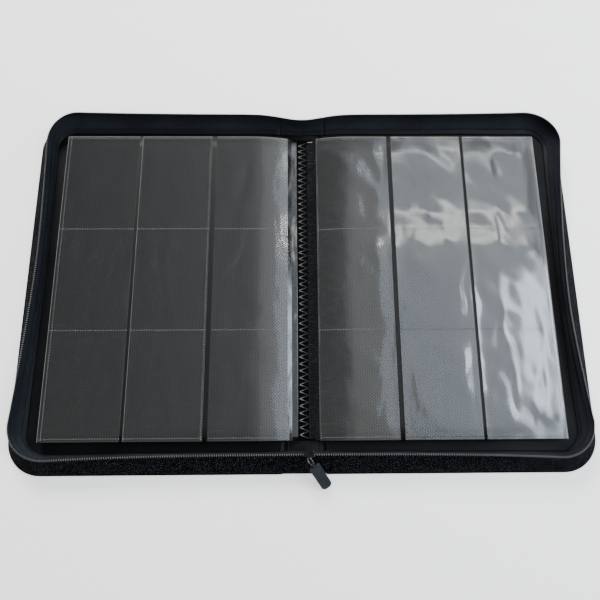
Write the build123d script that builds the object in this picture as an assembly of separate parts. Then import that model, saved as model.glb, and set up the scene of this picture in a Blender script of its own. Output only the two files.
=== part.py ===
from build123d import *
import math
import os

# Zip-round trading card binder, lying open: two soft trays hinged to a spine, a bound block of
# nine-pocket leaves on each side, and a coil zipper round the rims.
# Millimetres. The origin is on the underside of the spine, at its middle. +X is to the right-hand
# cover, +Y to the back edge and +Z up. The case lies open on its underside.

# Case, lying open
OPEN_HALF_WIDTH = 250.0
CASE_HALF_DEPTH = 164.5
BASE_CORNER = 30.0
SKIN = 0.8
BOARD = 1.8
LINING = 0.7

# Spine and its two fold lines
FOLD_X = 16.5
FOLD_Z = 2.4
FOLD_GROOVE = 5.0
SPINE_SKIN_SHORT = 1.0
SPINE_BOARD_SHORT = 3.0
SPINE_LINING_SHORT_FRONT = 7.0
SPINE_LINING_SHORT_BACK = 4.0
HINGE_CLOTH_SHORT = 7.5
HINGE_CLOTH_Z = 0.2
HINGE_CLOTH_GAP = 0.1

# Tray walls: they lean inward by a different amount on each side
WALL = 2.2
WALL_LINING = 0.5
WALL_TOP_Z = 12.6
LEAN_SIDE = 12.6
LEAN_FRONT = 16.8
LEAN_BACK = 3.0
LEAN_CORNER = 5.0
TRAY_END_X = 21.0

# Zipper: the two coils stand the same distance below the plane where the trays meet
MEETING_Z = FOLD_Z + FOLD_X
COIL = 2.2
COIL_TOP_GAP = 0.6
TAPE = 0.6
SLIDER_LENGTH = 8.4
SLIDER_WIDTH = 8.0
SLIDER_X = 4.1
SLIDER_PLATE = 1.2
SLIDER_LIP = 0.8
SLIDER_CORNER = 1.2
SLIDER_WEB = 0.6
SLIDER_WEB_LENGTH = 3.0
COIL_CLEARANCE = 0.5
STOP_LENGTH = 3.8
STOP_HEIGHT = 1.8
STOP_DEPTH = 1.8
BRIDGE_BAR = 0.9
BRIDGE_REACH = 2.1
BRIDGE_HALF_HEIGHT = 2.6
BRIDGE_BITE = 0.2
LINK_WIRE = 0.8
LINK_HOLE = 1.1
LINK_REACH = 4.5
PULL_TURN = 34.0
TAB_DROOP = 37.0
TAB_LENGTH = 27.0
TAB_WIDTH = 9.5
TAB_THICKNESS = 3.0
TAB_EYE_WIDTH = 1.6
TAB_EYE_RADIUS = 1.5
TAB_BORE_RADIUS = 0.9
TAB_START = 2.2
TAB_NECK_END = 2.6
TAB_NECK = 2.4
TAB_FAR_CORNER = 3.8
TAB_NEAR_CORNER = 2.0
TAB_EDGE = 0.8

# Leaves: three columns of three side-loading pockets on each face
COLUMN = 69.2
ROW = 93.5
COLUMNS = 3
ROWS = 3
LEAF_INNER_X = 13.5
LEAF_CENTRE_Y = 3.4
LEAVES_PER_SIDE = 10
LEAF_PITCH = 0.75
LEAF_BACKING = 0.22
FILM = 0.16
COLUMN_GAP = 2.4
FLANGE = 0.4
FLANGE_WIDTH = 13.4
FLANGE_INNER_X = 10.6
BODY_GAP = 0.3
FACE_GAP = 0.05

# Sewn binding in the gutter
STRIP_HALF_WIDTH = 7.0
STRIP = 0.8
STITCH_PITCH = 6.0
STITCH_HALF_SPAN = 3.9
STITCH = 0.5
MARGIN_INNER_X = 4.6
MARGIN_INNER_HEIGHT = 1.6
MARGIN_BELOW_TOP = 0.1
MARGIN_CROWN = 0.5

BOARD_Z = SKIN
LINING_Z = BOARD_Z + BOARD
FLOOR_Z = LINING_Z + LINING
COIL_Z = MEETING_Z - COIL_TOP_GAP - COIL
STRIP_Z = FLOOR_Z
FLANGE_Z = FLOOR_Z + BODY_GAP
LEAF_Z = FLANGE_Z + FLANGE + BODY_GAP
LEAF_THICKNESS = LEAF_BACKING + 2 * FILM
LEAF_WIDTH = COLUMNS * COLUMN
LEAF_LENGTH = ROWS * ROW
STACK_TOP_Z = LEAF_Z + (LEAVES_PER_SIDE - 1) * LEAF_PITCH + LEAF_THICKNESS
COIL_FRONT_Y = -CASE_HALF_DEPTH + LEAN_FRONT + COIL / 2
BIG = 700.0
SIDES = {"left": -1, "right": 1}


def block(x0, x1, y0, y1, z0, z1):
    """A box between two corners."""
    size = (abs(x1 - x0), abs(y1 - y0), abs(z1 - z0))
    return Pos((x0 + x1) / 2, (y0 + y1) / 2, (z0 + z1) / 2) * Box(*size)


def side_block(side, x0, x1, y0, y1, z0, z1):
    """A box on one side of the spine, with x counted outward."""
    return block(side * x0, side * x1, y0, y1, z0, z1)


def outline(z, inset, height=None):
    """The case's rounded outline at a height on the leaning wall, drawn in by an inset."""
    height = z if height is None else height
    rise = min(max((height - SKIN) / (WALL_TOP_Z - SKIN), 0.0), 1.0)
    half_x = OPEN_HALF_WIDTH - LEAN_SIDE * rise - inset
    front = -CASE_HALF_DEPTH + LEAN_FRONT * rise + inset
    back = CASE_HALF_DEPTH - LEAN_BACK * rise - inset
    corner = BASE_CORNER - LEAN_CORNER * rise - inset
    return Pos(0, (front + back) / 2, z) * RectangleRounded(2 * half_x, back - front, corner)


def plate(z0, z1, inset):
    """A flat sheet that follows the case's outline at its lower face."""
    return extrude(outline(z0, inset), z1 - z0)


def band(z0, z1, inset, thickness):
    """A leaning wall round the whole case."""
    outer = loft([outline(z0, inset), outline(z1, inset)], ruled=True)
    inner = loft([outline(z0, inset + thickness), outline(z1, inset + thickness)], ruled=True)
    return outer - inner


def rim_band(z0, z1, inset, thickness):
    """An upright wall round the whole case, on top of the leaning one."""
    outer = extrude(outline(z0, inset, WALL_TOP_Z), z1 - z0)
    return outer - extrude(outline(z0, inset + thickness, WALL_TOP_Z), z1 - z0)


def one_side(shape, side, from_x):
    """The part of a shape beyond a distance from the spine's middle."""
    return shape & side_block(side, from_x, BIG, -BIG, BIG, -BIG, BIG)


def across_spine(shape, end):
    """The part of a shape between the two trays, at the front or the back."""
    half = TRAY_END_X - BODY_GAP
    return shape & block(-half, half, end * BIG, 0, -BIG, BIG)


def save(shape, name):
    """Write one node."""
    export_step(shape, f"parts/{name}.step")


def spine_panel():
    """The spine's skin, board and lining, between the two fold grooves."""
    half = FOLD_X - FOLD_GROOVE / 2
    end = CASE_HALF_DEPTH - SPINE_SKIN_SHORT
    board_end = CASE_HALF_DEPTH - SPINE_BOARD_SHORT
    lining_front = -CASE_HALF_DEPTH + SPINE_LINING_SHORT_FRONT
    lining_back = CASE_HALF_DEPTH - SPINE_LINING_SHORT_BACK
    save(block(-half, half, -end, end, 0, SKIN), "spine_skin")
    save(block(-half, half, -board_end, board_end, BOARD_Z, LINING_Z) - gusset_foot(), "spine_board")
    save(block(-half, half, lining_front, lining_back, LINING_Z, FLOOR_Z), "spine_lining")


def gusset_foot():
    """The space taken by the foot of the end gussets."""
    whole = block(-BIG, BIG, -BIG, BIG, BOARD_Z, LINING_Z)
    return whole - loft([outline(SKIN, WALL), outline(LINING_Z, WALL)], ruled=True)


def binding():
    """The sewn strip that holds the leaves in the gutter, with its zigzag stitches."""
    y0 = LEAF_CENTRE_Y - LEAF_LENGTH / 2
    y1 = LEAF_CENTRE_Y + LEAF_LENGTH / 2
    save(block(-STRIP_HALF_WIDTH, STRIP_HALF_WIDTH, y0, y1, STRIP_Z, STRIP_Z + STRIP), "binding_strip")
    stitches = []
    half_pitch = STITCH_PITCH / 2
    run = math.hypot(2 * STITCH_HALF_SPAN, half_pitch)
    slant = math.degrees(math.atan2(half_pitch, 2 * STITCH_HALF_SPAN))
    for number in range(int(LEAF_LENGTH / half_pitch) - 1):
        y = y0 + half_pitch * (number + 1)
        turn = slant if number % 2 else -slant
        stitch = Box(run - 2 * STITCH, STITCH, STITCH)
        stitches.append(Pos(0, y, STRIP_Z + STRIP + STITCH / 2) * Rot(0, 0, turn) * stitch)
    save(Compound(children=stitches), "binding_stitches")


def page_margins(side):
    """The bound inner margins of one side's leaves, curving down into the gutter."""
    outer_x = LEAF_INNER_X - BODY_GAP
    low = LEAF_Z
    high = STACK_TOP_Z - MARGIN_BELOW_TOP
    inner_low = STRIP_Z + STRIP + BODY_GAP
    inner_high = inner_low + MARGIN_INNER_HEIGHT
    middle_x = (MARGIN_INNER_X + outer_x) / 2
    middle_z = (high + inner_high) / 2
    corner = (side * outer_x, high)
    foot = (side * MARGIN_INNER_X, inner_high)
    top = ThreePointArc(corner, (side * (middle_x + MARGIN_CROWN), middle_z + MARGIN_CROWN), foot)
    side_line = Line(foot, (side * MARGIN_INNER_X, inner_low))
    base_line = Line((side * MARGIN_INNER_X, inner_low), (side * outer_x, low))
    end_line = Line((side * outer_x, low), corner)
    section = make_face(Curve() + [top, side_line, base_line, end_line])
    turned = Plane.XZ.offset(-(LEAF_CENTRE_Y + LEAF_LENGTH / 2)) * section
    return extrude(turned, LEAF_LENGTH)


def hinge_cloth(side):
    """The cloth left bare in one fold groove, between the spine's board and the cover's."""
    x0 = FOLD_X - FOLD_GROOVE / 2 + HINGE_CLOTH_GAP
    x1 = FOLD_X + FOLD_GROOVE / 2 - HINGE_CLOTH_GAP
    end = CASE_HALF_DEPTH - HINGE_CLOTH_SHORT
    return side_block(side, x0, x1, -end, end, HINGE_CLOTH_Z, HINGE_CLOTH_Z + SKIN)


def cover(name, side):
    """One tray: its outer skin, board, lining, walls, zipper tape and coil."""
    inner_x = FOLD_X + FOLD_GROOVE / 2
    board_inset = WALL + FACE_GAP
    lining_inset = board_inset + WALL_LINING
    save(one_side(plate(0, SKIN, 0), side, inner_x), f"{name}_cover_skin")
    save(one_side(flat_inside(BOARD_Z, LINING_Z, board_inset), side, inner_x), f"{name}_cover_board")
    save(one_side(flat_inside(LINING_Z, FLOOR_Z, lining_inset), side, inner_x), f"{name}_cover_lining")
    save(one_side(band(SKIN, WALL_TOP_Z, 0, WALL), side, TRAY_END_X), f"{name}_side_wall")
    inner = band(FLOOR_Z, WALL_TOP_Z, WALL, WALL_LINING)
    save(one_side(inner, side, TRAY_END_X), f"{name}_wall_lining")
    save(one_side(zipper_tape(), side, TRAY_END_X), f"{name}_zipper_tape")
    save(one_side(zipper_coil(), side, TRAY_END_X), f"{name}_zipper_coil")


def flat_inside(z0, z1, inset):
    """A flat sheet that just fits inside the leaning walls at its upper face."""
    return extrude(outline(z0, inset, z1), z1 - z0)


def zipper_tape():
    """The woven tape that stands on the rim."""
    return rim_band(WALL_TOP_Z, COIL_Z, (COIL - TAPE) / 2, TAPE)


def zipper_coil():
    """The coil on the tape's edge, as a plain bead."""
    return rim_band(COIL_Z, COIL_Z + COIL, 0, COIL)


def gusset(end):
    """The soft wall that joins the two trays at one end of the spine."""
    wall = across_spine(band(SKIN, WALL_TOP_Z, 0, WALL), end)
    inner = across_spine(band(FLOOR_Z, WALL_TOP_Z, WALL, WALL_LINING), end)
    return wall + inner


def zip_end(end):
    """The zipper's tape and coil where they cross one end of the spine."""
    return across_spine(zipper_tape() + zipper_coil(), end)


def slider_plate_y():
    """The outer face of the slider's front plate."""
    return COIL_FRONT_Y - COIL / 2 - COIL_CLEARANCE - SLIDER_PLATE


def slider_channel():
    """The slider's two plates, joined by a web between the two coils."""
    x0 = SLIDER_X - SLIDER_LENGTH / 2
    x1 = SLIDER_X + SLIDER_LENGTH / 2
    half_depth = COIL / 2 + COIL_CLEARANCE
    half_outer = half_depth + SLIDER_PLATE
    half_width = SLIDER_WIDTH / 2
    inside = half_width - SLIDER_LIP
    y = COIL_FRONT_Y
    z = MEETING_Z
    solid = block(x0, x1, y - half_outer, y + half_outer, z - half_width, z + half_width)
    solid = fillet(solid.edges().filter_by(Axis.Y), SLIDER_CORNER)
    room = block(x0, x1, y - half_depth, y + half_depth, z - inside, z + inside)
    slot = block(x0, x1, y - SLIDER_LIP, y + SLIDER_LIP, z - half_width, z + half_width)
    web_x1 = x1 - SLIDER_LIP
    web_x0 = web_x1 - SLIDER_WEB_LENGTH
    web = block(web_x0, web_x1, y - half_depth, y + half_depth, z - SLIDER_WEB / 2, z + SLIDER_WEB / 2)
    return solid - room - slot + web


def slider_body():
    """The zipper slider: its channel and the bridge for the link."""
    plate_y = slider_plate_y()
    bar_y = plate_y - BRIDGE_REACH
    half = BRIDGE_BAR / 2
    low = MEETING_Z - BRIDGE_HALF_HEIGHT
    high = MEETING_Z + BRIDGE_HALF_HEIGHT
    x0 = SLIDER_X - half
    x1 = SLIDER_X + half
    bar = block(x0, x1, bar_y - half, bar_y + half, low, high)
    low_leg = block(x0, x1, bar_y - half, plate_y + BRIDGE_BITE, low, low + BRIDGE_BAR)
    high_leg = block(x0, x1, bar_y - half, plate_y + BRIDGE_BITE, high - BRIDGE_BAR, high)
    return slider_channel() + bar + low_leg + high_leg


def end_stop():
    """The small block on the tape's outer face that the parked slider rests above."""
    y1 = COIL_FRONT_Y - TAPE / 2 - BODY_GAP
    z1 = MEETING_Z - SLIDER_WIDTH / 2 - BODY_GAP
    x0 = SLIDER_X - STOP_LENGTH / 2
    x1 = SLIDER_X + STOP_LENGTH / 2
    body = block(x0, x1, y1 - STOP_DEPTH, y1, z1 - STOP_HEIGHT, z1)
    return fillet(body.edges().filter_by(Axis.Y), STOP_HEIGHT / 4)


def pull_place():
    """The middle of the bridge's bar, with +X along the link and +Z up."""
    return Pos(SLIDER_X, slider_plate_y() - BRIDGE_REACH, MEETING_Z) * Rot(0, 0, PULL_TURN - 90)


def pull_link():
    """The wire link round the bridge's bar, flat and pointing outward."""
    outer_r = LINK_HOLE + LINK_WIRE
    far = LINK_REACH + LINK_WIRE / 2
    body = Circle(outer_r) + Pos(far / 2, 0) * Rectangle(far, 2 * outer_r)
    hole_length = LINK_REACH - LINK_WIRE / 2
    hole = Circle(LINK_HOLE) + Pos(hole_length / 2, 0) * Rectangle(hole_length, 2 * LINK_HOLE)
    ring = extrude(body - hole, LINK_WIRE)
    return pull_place() * Pos(0, 0, -LINK_WIRE / 2) * ring


def pull_tab():
    """The rubber tab, hanging from the link's far bar."""
    half = TAB_THICKNESS / 2
    eye = Rot(90, 0, 0) * Cylinder(TAB_EYE_RADIUS, TAB_EYE_WIDTH)
    bore = Rot(90, 0, 0) * Cylinder(TAB_BORE_RADIUS, 2 * TAB_EYE_WIDTH)
    neck = block(TAB_BORE_RADIUS, TAB_NECK_END, -TAB_EYE_WIDTH / 2, TAB_EYE_WIDTH / 2,
                 -TAB_NECK / 2, TAB_NECK / 2)
    body = block(TAB_START, TAB_START + TAB_LENGTH, -TAB_WIDTH / 2, TAB_WIDTH / 2, -half, half)
    far_corners = body.edges().filter_by(Axis.Z).group_by(Axis.X)[-1]
    body = fillet(far_corners, TAB_FAR_CORNER)
    near_corners = body.edges().filter_by(Axis.Z).group_by(Axis.X)[0]
    body = fillet(near_corners, TAB_NEAR_CORNER)
    rims = body.edges().filter_by(lambda e: abs(abs(e.center().Z) - half) < 0.01)
    body = fillet(rims, TAB_EDGE)
    hanging = Rot(0, TAB_DROOP, 0) * (body + (neck + eye - bore))
    return pull_place() * Pos(LINK_REACH, 0, 0) * hanging


def leaf_bottom(number):
    """The underside of a leaf, counted from 1 at the top of its stack."""
    return LEAF_Z + (LEAVES_PER_SIDE - number) * LEAF_PITCH


def leaf_sheet(side, z0, thickness):
    """A sheet of a leaf's full size."""
    y0 = LEAF_CENTRE_Y - LEAF_LENGTH / 2
    x1 = LEAF_INNER_X + LEAF_WIDTH
    return side_block(side, LEAF_INNER_X, x1, y0, y0 + LEAF_LENGTH, z0, z0 + thickness)


def pocket_films(side, z0):
    """One face's three films, each welded into a column of pockets open towards the spine."""
    y0 = LEAF_CENTRE_Y - LEAF_LENGTH / 2
    films = []
    for column in range(COLUMNS):
        x0 = LEAF_INNER_X + column * COLUMN + COLUMN_GAP / 2
        x1 = x0 + COLUMN - COLUMN_GAP
        films.append(side_block(side, x0, x1, y0, y0 + LEAF_LENGTH, z0, z0 + FILM))
    return Compound(children=films)


def leaves(name, side):
    """One side's stack: the top leaf in its separate sheets, the rest as welded leaves."""
    z = leaf_bottom(1)
    save(pocket_films(side, z), f"{name}_leaf_01_back_films")
    save(leaf_sheet(side, z + FILM, LEAF_BACKING), f"{name}_leaf_01_backing")
    save(pocket_films(side, z + FILM + LEAF_BACKING), f"{name}_leaf_01_front_films")
    for number in range(2, LEAVES_PER_SIDE + 1):
        save(leaf_sheet(side, leaf_bottom(number), LEAF_THICKNESS), f"{name}_leaf_{number:02d}")


def flange(side):
    """The strip under one side's leaves that carries them when the case folds."""
    y0 = LEAF_CENTRE_Y - LEAF_LENGTH / 2
    x1 = FLANGE_INNER_X + FLANGE_WIDTH
    return side_block(side, FLANGE_INNER_X, x1, y0, y0 + LEAF_LENGTH, FLANGE_Z, FLANGE_Z + FLANGE)


def main():
    os.makedirs("parts", exist_ok=True)
    spine_panel()
    binding()
    for name, side in SIDES.items():
        save(page_margins(side), f"{name}_page_margins")
        save(hinge_cloth(side), f"{name}_hinge_cloth")
        save(flange(side), f"{name}_page_flange")
        cover(name, side)
        leaves(name, side)
    for name, end in {"front": -1, "back": 1}.items():
        save(gusset(end), f"{name}_gusset")
        save(zip_end(end), f"{name}_zip_end")
    save(end_stop(), "zip_end_stop")
    save(slider_body(), "slider_body")
    save(pull_link(), "pull_link")
    save(pull_tab(), "pull_tab")


main()
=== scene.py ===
import math

import bmesh
import bpy
from mathutils import Matrix, Vector, noise


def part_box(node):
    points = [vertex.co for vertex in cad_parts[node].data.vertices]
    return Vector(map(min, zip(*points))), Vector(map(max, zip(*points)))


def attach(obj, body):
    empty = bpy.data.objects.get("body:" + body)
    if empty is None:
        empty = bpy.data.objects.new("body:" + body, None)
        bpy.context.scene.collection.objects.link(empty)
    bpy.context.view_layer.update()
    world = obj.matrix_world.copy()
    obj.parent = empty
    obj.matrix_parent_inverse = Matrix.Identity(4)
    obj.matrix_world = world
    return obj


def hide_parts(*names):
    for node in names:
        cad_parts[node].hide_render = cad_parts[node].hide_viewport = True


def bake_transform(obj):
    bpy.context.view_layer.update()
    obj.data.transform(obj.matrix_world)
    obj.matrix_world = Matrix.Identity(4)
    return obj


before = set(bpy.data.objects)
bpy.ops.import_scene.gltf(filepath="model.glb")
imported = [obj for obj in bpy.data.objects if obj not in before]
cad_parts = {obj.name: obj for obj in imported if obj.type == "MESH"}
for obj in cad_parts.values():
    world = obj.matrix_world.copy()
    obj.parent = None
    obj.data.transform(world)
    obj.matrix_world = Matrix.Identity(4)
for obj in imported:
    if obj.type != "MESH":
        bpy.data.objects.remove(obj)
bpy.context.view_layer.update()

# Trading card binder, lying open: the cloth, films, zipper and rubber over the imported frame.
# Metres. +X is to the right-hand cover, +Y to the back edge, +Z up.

MM = 0.001
SIDES = {"left": -1, "right": 1}

# Places taken from the frame
SKIN_LOW, SKIN_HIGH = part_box("right_cover_skin")
COIL_LOW, COIL_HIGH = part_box("right_zipper_coil")
WALL_LOW, WALL_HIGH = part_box("right_side_wall")
FLOOR_LOW, FLOOR_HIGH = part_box("right_cover_lining")
LEAF_LOW, LEAF_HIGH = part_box("right_leaf_01_backing")
FILM_LOW, FILM_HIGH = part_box("right_leaf_01_front_films")
BACK_FILM_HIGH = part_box("right_leaf_01_back_films")[1]
STRIP_LOW, STRIP_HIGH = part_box("binding_strip")

# Case outline at the table and at the rim
BASE_X = SKIN_HIGH.x
BASE_Y = SKIN_HIGH.y
BASE_CORNER = 30 * MM
RIM_X = COIL_HIGH.x
RIM_FRONT = COIL_LOW.y
RIM_BACK = COIL_HIGH.y
RIM_CORNER = 25 * MM
RIM_Z = WALL_HIGH.z
TRAY_END = WALL_LOW.x
FLOOR_Z = FLOOR_HIGH.z
WALL_THICK = 2.2 * MM
WALL_FOOT_Z = 0.85 * MM

# Zipper coil
COIL_MID_Z = (COIL_LOW.z + COIL_HIGH.z) / 2
COIL_INSET = 1.1 * MM
COIL_PITCH = 1.9 * MM
COIL_LEAN = 0.22
TURN_RADIUS = 0.80 * MM
FILAMENT_RADIUS = 0.34 * MM
CORE_RADIUS = 0.45 * MM

# Leaves
LEAVES = 10
COLUMNS = 3
ROWS = 3
LEAF_WIDTH = LEAF_HIGH.x - LEAF_LOW.x
LEAF_LENGTH = LEAF_HIGH.y - LEAF_LOW.y
COLUMN = LEAF_WIDTH / COLUMNS
ROW = LEAF_LENGTH / ROWS
LOWER_LEAF_THICK = 0.26 * MM

# Gaps between the columns: middles, and how far the films stop short of them
FIRST_GAP = LEAF_LOW.x + COLUMN
SECOND_GAP = LEAF_LOW.x + 2 * COLUMN
FILM_INSETS = (0, 2.1 * MM, 1.4 * MM, 0)

# Threads and welds
RIM_STITCH_PITCH = 3.2 * MM
ZIGZAG_PITCH = 6.0 * MM
ZIGZAG_HALF_WIDTH = 3.9 * MM
WELD_PITCH = 2.2 * MM

# Gutter: where the sewn bundle of margins starts and ends, and its underside
BUNDLE_START = 4.6 * MM
BUNDLE_END = 10.4 * MM
BUNDLE_LOW_Z = STRIP_HIGH.z + 0.3 * MM

# Soft lights: name, place, the point it faces, width, height, watts, colour
COOL = (0.80, 0.90, 1.0)
WARM = (1.0, 0.98, 0.94)
LIGHTS = (
    ("overhead_right", (0.47, 0.24, 0.85), (0.47, 0.24, 0), 0.46, 0.92, 3.0, COOL),
    ("panel_right_low", (0.60, 0.04, 0.80), (0.60, 0.04, 0), 0.13, 0.40, 1.5, COOL),
    ("panel_right_high", (0.42, 0.37, 0.80), (0.42, 0.37, 0), 0.30, 0.05, 0.55, (1.0, 0.96, 0.86)),
    ("panel_right_back", (0.44, 0.58, 0.80), (0.44, 0.58, 0), 0.34, 0.04, 0.35, (1.0, 0.97, 0.9)),
    ("panel_centre_warm", (0.13, 0.22, 0.85), (0.13, 0.22, 0), 0.20, 0.92, 0.34, (1.0, 0.93, 0.85)),
    ("window_side", (1.15, 0.20, 0.85), (-0.1, 0, 0.02), 0.5, 1.3, 16.0, (0.84, 0.92, 1.0)),
    ("fill_front", (-0.35, -1.25, 1.25), (0, 0, 0), 1.3, 0.9, 5.0, WARM),
    ("fill_left", (-1.35, -0.2, 0.9), (0, 0, 0), 0.9, 0.9, 2.5, (1.0, 0.98, 0.95)),
    ("fill_back_left", (-0.55, 1.95, 1.30), (-0.1, 0, 0), 1.0, 0.6, 85.0, WARM),
)


# ---------------------------------------------------------------- camera, floor and light

def set_camera():
    """The case seen from the front and almost above."""
    lift = math.radians(76.6)
    turn = math.radians(-3.15)
    roll = math.radians(2.86)
    target = Vector((-2.5 * MM, -14.05 * MM, 0))
    distance = 0.4714
    out = math.cos(lift)
    back = Vector((math.sin(turn) * out, -math.cos(turn) * out, math.sin(lift)))
    right = (-back).cross(Vector((0, 0, 1))).normalized()
    up = right.cross(-back)
    level = Matrix((right, up, back)).transposed()
    data = bpy.data.cameras.new("camera")
    data.lens = 31.2
    data.sensor_width = 36
    data.clip_start = 0.01
    camera = bpy.data.objects.new("camera", data)
    bpy.context.scene.collection.objects.link(camera)
    facing = (level @ Matrix.Rotation(roll, 3, "Z")).to_4x4()
    camera.matrix_world = Matrix.Translation(target + back * distance) @ facing
    bpy.context.scene.camera = camera


def soft_light(name, place, aim, width, height, power, colour):
    """One soft studio light."""
    data = bpy.data.lights.new(name, "AREA")
    data.shape = "RECTANGLE"
    data.size = width
    data.size_y = height
    data.energy = power
    data.color = colour
    lamp = bpy.data.objects.new(name, data)
    bpy.context.scene.collection.objects.link(lamp)
    lamp.location = place
    facing = (Vector(aim) - Vector(place)).to_track_quat("-Z", "Y")
    lamp.rotation_euler = facing.to_euler()


def set_stage():
    """Pale floor, a dim even surrounding and the soft lights."""
    bm = bmesh.new()
    bmesh.ops.create_grid(bm, x_segments=1, y_segments=1, size=3)
    floor = finished("studio_floor", bm, material_floor())
    floor.data.transform(Matrix.Translation((0, 0, -0.2 * MM)))
    world = bpy.data.worlds.new("studio")
    world.use_nodes = True
    surrounding = world.node_tree.nodes["Background"].inputs
    surrounding["Color"].default_value = (0.90, 0.95, 1.0, 1)
    surrounding["Strength"].default_value = 0.12
    bpy.context.scene.world = world
    for light in LIGHTS:
        soft_light(*light)


# ---------------------------------------------------------------- material helpers

class Nodes:
    """Adds and joins shader nodes in one tree."""

    def __init__(self, tree):
        self.tree = tree

    def add(self, kind, inputs=None, **settings):
        node = self.tree.nodes.new(kind)
        for name, value in settings.items():
            setattr(node, name, value)
        for name, value in (inputs or {}).items():
            self.join(value, node.inputs[name])
        return node

    def join(self, value, socket):
        if isinstance(value, bpy.types.NodeSocket):
            self.tree.links.new(value, socket)
        elif hasattr(socket.default_value, "__len__") and len(value) < len(socket.default_value):
            socket.default_value = (*value, 1)
        else:
            socket.default_value = value

    def math(self, operation, a, b=0.0):
        return self.add("ShaderNodeMath", {0: a, 1: b}, operation=operation).outputs[0]

    def times(self, a, b):
        return self.math("MULTIPLY", a, b)

    def plus(self, a, b):
        return self.math("ADD", a, b)

    def mix(self, share, a, b):
        node = self.add("ShaderNodeMix", data_type="RGBA")
        self.join(share, node.inputs["Factor"])
        self.join(a, node.inputs["A"])
        self.join(b, node.inputs["B"])
        return node.outputs["Result"]

    def range(self, value, low, high, to_low=0.0, to_high=1.0):
        ends = {"From Min": low, "From Max": high, "To Min": to_low, "To Max": to_high}
        return self.add("ShaderNodeMapRange", {"Value": value, **ends}).outputs["Result"]

    def place(self):
        return self.add("ShaderNodeTexCoord").outputs["Object"]

    def parts(self, vector):
        return self.add("ShaderNodeSeparateXYZ", {"Vector": vector}).outputs

    def speckle(self, vector, scale, detail, **more):
        """Soft noise of one scale."""
        inputs = {"Vector": vector, "Scale": scale, "Detail": detail, **more}
        return self.add("ShaderNodeTexNoise", inputs).outputs["Fac"]


def new_group(name, inputs, outputs):
    """An empty shader node group with float, colour or vector sockets."""
    group = bpy.data.node_groups.new(name, "ShaderNodeTree")
    kinds = {"float": "NodeSocketFloat", "colour": "NodeSocketColor", "vector": "NodeSocketVector"}
    for label, kind, value in inputs:
        socket = group.interface.new_socket(name=label, in_out="INPUT", socket_type=kinds[kind])
        if value is not None:
            socket.default_value = value
    for label, kind in outputs:
        group.interface.new_socket(name=label, in_out="OUTPUT", socket_type=kinds[kind])
    nodes = Nodes(group)
    return group, nodes, nodes.add("NodeGroupInput").outputs, nodes.add("NodeGroupOutput").inputs


def weave_group():
    """Plain weave: height of crossing threads, a mask of pale flecks on the raised thread tops
    (partly wear, partly painted glints), slow fading.
    """
    group, n, given, out = new_group(
        "weave",
        [("Vector", "vector", None), ("Threads", "float", 1400.0), ("Specks", "float", 0.5)],
        [("Height", "float"), ("Pale", "float"), ("Fade", "float")])
    parts = n.parts(given["Vector"])
    threads = given["Threads"]
    rise = n.times(parts["Z"], threads)
    across = n.plus(n.times(parts["X"], threads), rise)
    along = n.plus(n.times(parts["Y"], threads), rise)
    warp = n.math("SINE", across)
    weft = n.math("SINE", along)
    height = n.times(n.plus(n.times(warp, weft), 1.0), 0.5)
    n.join(height, out["Height"])
    fine = n.speckle(given["Vector"], 1350.0, 2.0)
    # Pale flecks weighted to the raised thread tops: partly wear, partly painted glints.
    speck = n.range(n.times(fine, n.plus(n.times(height, 0.5), 0.75)), 0.62, 0.72)
    n.join(n.times(speck, given["Specks"]), out["Pale"])
    broad = n.speckle(given["Vector"], 22.0, 4.0)
    n.join(n.range(broad, 0.3, 0.7), out["Fade"])
    return group


def twill_group():
    """Twill embossed in a plastic sheet: slanting ribs cut into short steps."""
    group, n, given, out = new_group(
        "twill",
        [("Vector", "vector", None), ("Slant", "float", 1.0), ("Ribs", "float", 3600.0)],
        [("Height", "float"), ("Pale", "float")])
    parts = n.parts(given["Vector"])
    slanted = n.math("SUBTRACT", parts["Y"], n.times(parts["X"], given["Slant"]))
    rib = n.math("SINE", n.times(slanted, given["Ribs"]))
    step = n.math("SINE", n.times(parts["X"], n.times(given["Ribs"], 1.31)))
    height = n.plus(n.times(rib, 0.36), n.plus(n.times(step, 0.14), 0.5))
    n.join(height, out["Height"])
    uneven = n.speckle(given["Vector"], 260.0, 3.0)
    worn_and_lit = n.range(uneven, 0.2, 0.7, 0.75, 1.0)
    n.join(n.times(n.range(height, 0.2, 0.95), worn_and_lit), out["Pale"])
    return group


def dust_group():
    """Fine dust and lint, denser in soft patches."""
    group, n, given, out = new_group(
        "dust", [("Vector", "vector", None), ("Amount", "float", 0.3)], [("Mask", "float")])
    grain = n.speckle(given["Vector"], 3200.0, 1.0)
    patch = n.speckle(given["Vector"], 30.0, 3.0)
    mask = n.times(n.range(grain, 0.62, 0.78), n.range(patch, 0.35, 0.75))
    n.join(n.times(mask, given["Amount"]), out["Mask"])
    return group


def ripple_group():
    """Uneven drawn plastic film: broad waves and fine scuffs."""
    group, n, given, out = new_group(
        "film_ripple", [("Vector", "vector", None), ("Waves", "float", 28.0)],
        [("Height", "float"), ("Scuff", "float")])
    drawn = {"Vector": given["Vector"], "Scale": (1.6, 0.6, 1.0)}
    stretched = n.add("ShaderNodeMapping", drawn).outputs["Vector"]
    broad = n.speckle(stretched, given["Waves"], 0.6, Distortion=1.1)
    n.join(broad, out["Height"])
    scratched = {"Vector": given["Vector"], "Rotation": (0, 0, 0.7), "Scale": (1.0, 9.0, 1.0)}
    lines = n.add("ShaderNodeMapping", scratched).outputs["Vector"]
    scuff = n.speckle(lines, 160.0, 5.0)
    n.join(n.range(scuff, 0.55, 0.8), out["Scuff"])
    return group


GROUP_MAKERS = {
    "weave": weave_group, "twill": twill_group, "dust": dust_group, "film_ripple": ripple_group,
}
GROUPS = {}


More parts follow.
